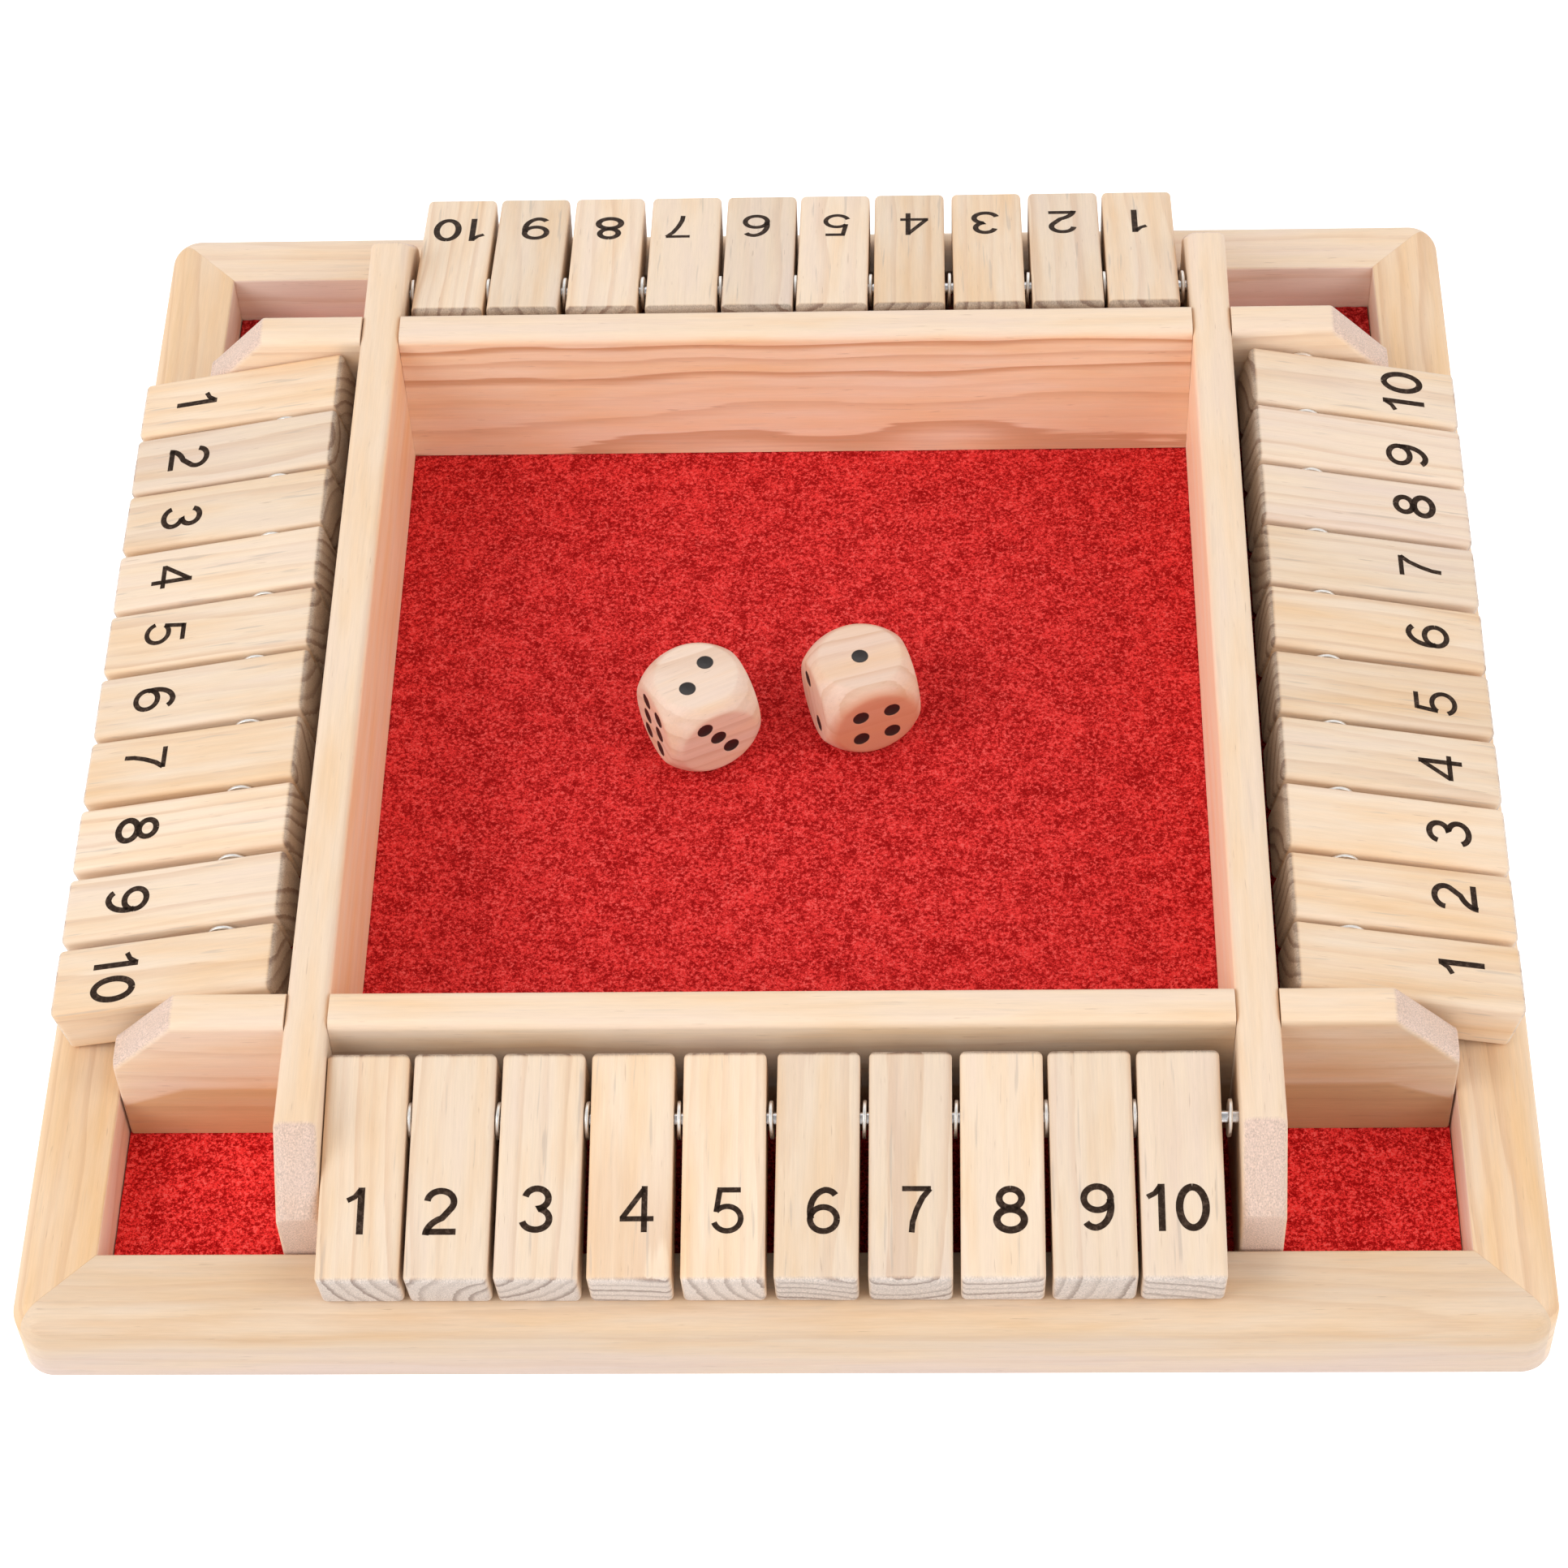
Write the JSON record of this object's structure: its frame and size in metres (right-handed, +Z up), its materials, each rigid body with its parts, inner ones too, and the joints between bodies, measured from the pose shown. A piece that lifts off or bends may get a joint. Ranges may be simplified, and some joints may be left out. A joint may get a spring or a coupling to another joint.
{
  "type": "shut the box game",
  "caption": "Square wooden tray with a felt-lined rolling well, a crossed grid of boards, and a bank of numbered tiles on each side that flip over on steel rods.",
  "frame": {"origin": "centre of the underside of the tray", "axes": "+X to the right and +Y to the back as the front player sees it, +Z up"},
  "size_m": [0.2232, 0.2232, 0.0333],
  "materials": {
    "pine": "pale pine, sanded, clear matt lacquer",
    "tile_pine": "pale pine, sanded, clear matt lacquer, printed numbers",
    "plywood": "raw plywood",
    "felt": "red wool felt, short pile",
    "steel": "bright drawn steel",
    "dice_wood": "pale beech, polished, dark pips"
  },
  "bodies": {
    "frame": {"base_board": "plywood", "felt_sheet": "felt", "rail_front": "pine", "rail_back": "pine", "rail_left": "pine", "rail_right": "pine", "wall_left": "pine", "wall_right": "pine", "wall_front": "pine", "wall_back": "pine", "rod_front": "steel", "washers_front": "steel", "rod_right": "steel", "washers_right": "steel", "rod_back": "steel", "washers_back": "steel", "rod_left": "steel", "washers_left": "steel"},
    "tile_front_1": {"tile_front_1": "tile_pine"},
    "tile_front_2": {"tile_front_2": "tile_pine"},
    "tile_front_3": {"tile_front_3": "tile_pine"},
    "tile_front_4": {"tile_front_4": "tile_pine"},
    "tile_front_5": {"tile_front_5": "tile_pine"},
    "tile_front_6": {"tile_front_6": "tile_pine"},
    "tile_front_7": {"tile_front_7": "tile_pine"},
    "tile_front_8": {"tile_front_8": "tile_pine"},
    "tile_front_9": {"tile_front_9": "tile_pine"},
    "tile_front_10": {"tile_front_10": "tile_pine"},
    "tile_right_1": {"tile_right_1": "tile_pine"},
    "tile_right_2": {"tile_right_2": "tile_pine"},
    "tile_right_3": {"tile_right_3": "tile_pine"},
    "tile_right_4": {"tile_right_4": "tile_pine"},
    "tile_right_5": {"tile_right_5": "tile_pine"},
    "tile_right_6": {"tile_right_6": "tile_pine"},
    "tile_right_7": {"tile_right_7": "tile_pine"},
    "tile_right_8": {"tile_right_8": "tile_pine"},
    "tile_right_9": {"tile_right_9": "tile_pine"},
    "tile_right_10": {"tile_right_10": "tile_pine"},
    "tile_back_1": {"tile_back_1": "tile_pine"},
    "tile_back_2": {"tile_back_2": "tile_pine"},
    "tile_back_3": {"tile_back_3": "tile_pine"},
    "tile_back_4": {"tile_back_4": "tile_pine"},
    "tile_back_5": {"tile_back_5": "tile_pine"},
    "tile_back_6": {"tile_back_6": "tile_pine"},
    "tile_back_7": {"tile_back_7": "tile_pine"},
    "tile_back_8": {"tile_back_8": "tile_pine"},
    "tile_back_9": {"tile_back_9": "tile_pine"},
    "tile_back_10": {"tile_back_10": "tile_pine"},
    "tile_left_1": {"tile_left_1": "tile_pine"},
    "tile_left_2": {"tile_left_2": "tile_pine"},
    "tile_left_3": {"tile_left_3": "tile_pine"},
    "tile_left_4": {"tile_left_4": "tile_pine"},
    "tile_left_5": {"tile_left_5": "tile_pine"},
    "tile_left_6": {"tile_left_6": "tile_pine"},
    "tile_left_7": {"tile_left_7": "tile_pine"},
    "tile_left_8": {"tile_left_8": "tile_pine"},
    "tile_left_9": {"tile_left_9": "tile_pine"},
    "tile_left_10": {"tile_left_10": "tile_pine"},
    "die_left": {"die_left": "dice_wood"},
    "die_right": {"die_right": "dice_wood"}
  },
  "joints": [
    {"name": "flip_front_1", "type": "hinge", "parent": "frame", "child": "tile_front_1", "pos_m": [0, -0.08412, 0.0257], "axis": [-1, 0, 0], "range_deg": [0, 142]},
    {"name": "flip_front_2", "type": "hinge", "parent": "frame", "child": "tile_front_2", "pos_m": [0, -0.08412, 0.0257], "axis": [-1, 0, 0], "range_deg": [0, 147]},
    {"name": "flip_front_3", "type": "hinge", "parent": "frame", "child": "tile_front_3", "pos_m": [0, -0.08412, 0.0257], "axis": [-1, 0, 0], "range_deg": [0, 147]},
    {"name": "flip_front_4", "type": "hinge", "parent": "frame", "child": "tile_front_4", "pos_m": [0, -0.08412, 0.0257], "axis": [-1, 0, 0], "range_deg": [0, 147]},
    {"name": "flip_front_5", "type": "hinge", "parent": "frame", "child": "tile_front_5", "pos_m": [0, -0.08412, 0.0257], "axis": [-1, 0, 0], "range_deg": [0, 147]},
    {"name": "flip_front_6", "type": "hinge", "parent": "frame", "child": "tile_front_6", "pos_m": [0, -0.08412, 0.0257], "axis": [-1, 0, 0], "range_deg": [0, 147]},
    {"name": "flip_front_7", "type": "hinge", "parent": "frame", "child": "tile_front_7", "pos_m": [0, -0.08412, 0.0257], "axis": [-1, 0, 0], "range_deg": [0, 147]},
    {"name": "flip_front_8", "type": "hinge", "parent": "frame", "child": "tile_front_8", "pos_m": [0, -0.08412, 0.0257], "axis": [-1, 0, 0], "range_deg": [0, 147]},
    {"name": "flip_front_9", "type": "hinge", "parent": "frame", "child": "tile_front_9", "pos_m": [0, -0.08412, 0.0257], "axis": [-1, 0, 0], "range_deg": [0, 147]},
    {"name": "flip_front_10", "type": "hinge", "parent": "frame", "child": "tile_front_10", "pos_m": [0, -0.08412, 0.0257], "axis": [-1, 0, 0], "range_deg": [0, 142]},
    {"name": "flip_right_1", "type": "hinge", "parent": "frame", "child": "tile_right_1", "pos_m": [0.08412, 0, 0.0257], "axis": [0, -1, 0], "range_deg": [0, 142]},
    {"name": "flip_right_2", "type": "hinge", "parent": "frame", "child": "tile_right_2", "pos_m": [0.08412, 0, 0.0257], "axis": [0, -1, 0], "range_deg": [0, 147]},
    {"name": "flip_right_3", "type": "hinge", "parent": "frame", "child": "tile_right_3", "pos_m": [0.08412, 0, 0.0257], "axis": [0, -1, 0], "range_deg": [0, 147]},
    {"name": "flip_right_4", "type": "hinge", "parent": "frame", "child": "tile_right_4", "pos_m": [0.08412, 0, 0.0257], "axis": [0, -1, 0], "range_deg": [0, 147]},
    {"name": "flip_right_5", "type": "hinge", "parent": "frame", "child": "tile_right_5", "pos_m": [0.08412, 0, 0.0257], "axis": [0, -1, 0], "range_deg": [0, 147]},
    {"name": "flip_right_6", "type": "hinge", "parent": "frame", "child": "tile_right_6", "pos_m": [0.08412, 0, 0.0257], "axis": [0, -1, 0], "range_deg": [0, 147]},
    {"name": "flip_right_7", "type": "hinge", "parent": "frame", "child": "tile_right_7", "pos_m": [0.08412, 0, 0.0257], "axis": [0, -1, 0], "range_deg": [0, 147]},
    {"name": "flip_right_8", "type": "hinge", "parent": "frame", "child": "tile_right_8", "pos_m": [0.08412, 0, 0.0257], "axis": [0, -1, 0], "range_deg": [0, 147]},
    {"name": "flip_right_9", "type": "hinge", "parent": "frame", "child": "tile_right_9", "pos_m": [0.08412, 0, 0.0257], "axis": [0, -1, 0], "range_deg": [0, 147]},
    {"name": "flip_right_10", "type": "hinge", "parent": "frame", "child": "tile_right_10", "pos_m": [0.08412, 0, 0.0257], "axis": [0, -1, 0], "range_deg": [0, 142]},
    {"name": "flip_back_1", "type": "hinge", "parent": "frame", "child": "tile_back_1", "pos_m": [0, 0.08412, 0.0257], "axis": [1, 0, 0], "range_deg": [0, 142]},
    {"name": "flip_back_2", "type": "hinge", "parent": "frame", "child": "tile_back_2", "pos_m": [0, 0.08412, 0.0257], "axis": [1, 0, 0], "range_deg": [0, 147]},
    {"name": "flip_back_3", "type": "hinge", "parent": "frame", "child": "tile_back_3", "pos_m": [0, 0.08412, 0.0257], "axis": [1, 0, 0], "range_deg": [0, 147]},
    {"name": "flip_back_4", "type": "hinge", "parent": "frame", "child": "tile_back_4", "pos_m": [0, 0.08412, 0.0257], "axis": [1, 0, 0], "range_deg": [0, 147]},
    {"name": "flip_back_5", "type": "hinge", "parent": "frame", "child": "tile_back_5", "pos_m": [0, 0.08412, 0.0257], "axis": [1, 0, 0], "range_deg": [0, 147]},
    {"name": "flip_back_6", "type": "hinge", "parent": "frame", "child": "tile_back_6", "pos_m": [0, 0.08412, 0.0257], "axis": [1, 0, 0], "range_deg": [0, 147]},
    {"name": "flip_back_7", "type": "hinge", "parent": "frame", "child": "tile_back_7", "pos_m": [0, 0.08412, 0.0257], "axis": [1, 0, 0], "range_deg": [0, 147]},
    {"name": "flip_back_8", "type": "hinge", "parent": "frame", "child": "tile_back_8", "pos_m": [0, 0.08412, 0.0257], "axis": [1, 0, 0], "range_deg": [0, 147]},
    {"name": "flip_back_9", "type": "hinge", "parent": "frame", "child": "tile_back_9", "pos_m": [0, 0.08412, 0.0257], "axis": [1, 0, 0], "range_deg": [0, 147]},
    {"name": "flip_back_10", "type": "hinge", "parent": "frame", "child": "tile_back_10", "pos_m": [0, 0.08412, 0.0257], "axis": [1, 0, 0], "range_deg": [0, 142]},
    {"name": "flip_left_1", "type": "hinge", "parent": "frame", "child": "tile_left_1", "pos_m": [-0.08412, 0, 0.0257], "axis": [0, 1, 0], "range_deg": [0, 142]},
    {"name": "flip_left_2", "type": "hinge", "parent": "frame", "child": "tile_left_2", "pos_m": [-0.08412, 0, 0.0257], "axis": [0, 1, 0], "range_deg": [0, 147]},
    {"name": "flip_left_3", "type": "hinge", "parent": "frame", "child": "tile_left_3", "pos_m": [-0.08412, 0, 0.0257], "axis": [0, 1, 0], "range_deg": [0, 147]},
    {"name": "flip_left_4", "type": "hinge", "parent": "frame", "child": "tile_left_4", "pos_m": [-0.08412, 0, 0.0257], "axis": [0, 1, 0], "range_deg": [0, 147]},
    {"name": "flip_left_5", "type": "hinge", "parent": "frame", "child": "tile_left_5", "pos_m": [-0.08412, 0, 0.0257], "axis": [0, 1, 0], "range_deg": [0, 147]},
    {"name": "flip_left_6", "type": "hinge", "parent": "frame", "child": "tile_left_6", "pos_m": [-0.08412, 0, 0.0257], "axis": [0, 1, 0], "range_deg": [0, 147]},
    {"name": "flip_left_7", "type": "hinge", "parent": "frame", "child": "tile_left_7", "pos_m": [-0.08412, 0, 0.0257], "axis": [0, 1, 0], "range_deg": [0, 147]},
    {"name": "flip_left_8", "type": "hinge", "parent": "frame", "child": "tile_left_8", "pos_m": [-0.08412, 0, 0.0257], "axis": [0, 1, 0], "range_deg": [0, 147]},
    {"name": "flip_left_9", "type": "hinge", "parent": "frame", "child": "tile_left_9", "pos_m": [-0.08412, 0, 0.0257], "axis": [0, 1, 0], "range_deg": [0, 147]},
    {"name": "flip_left_10", "type": "hinge", "parent": "frame", "child": "tile_left_10", "pos_m": [-0.08412, 0, 0.0257], "axis": [0, 1, 0], "range_deg": [0, 142]},
    {"name": "lift_die_left", "type": "slide", "parent": "frame", "child": "die_left", "axis": [0, 0, 1], "range_m": [0, 0.04]},
    {"name": "lift_die_right", "type": "slide", "parent": "frame", "child": "die_right", "axis": [0, 0, 1], "range_m": [0, 0.04]}
  ]
}
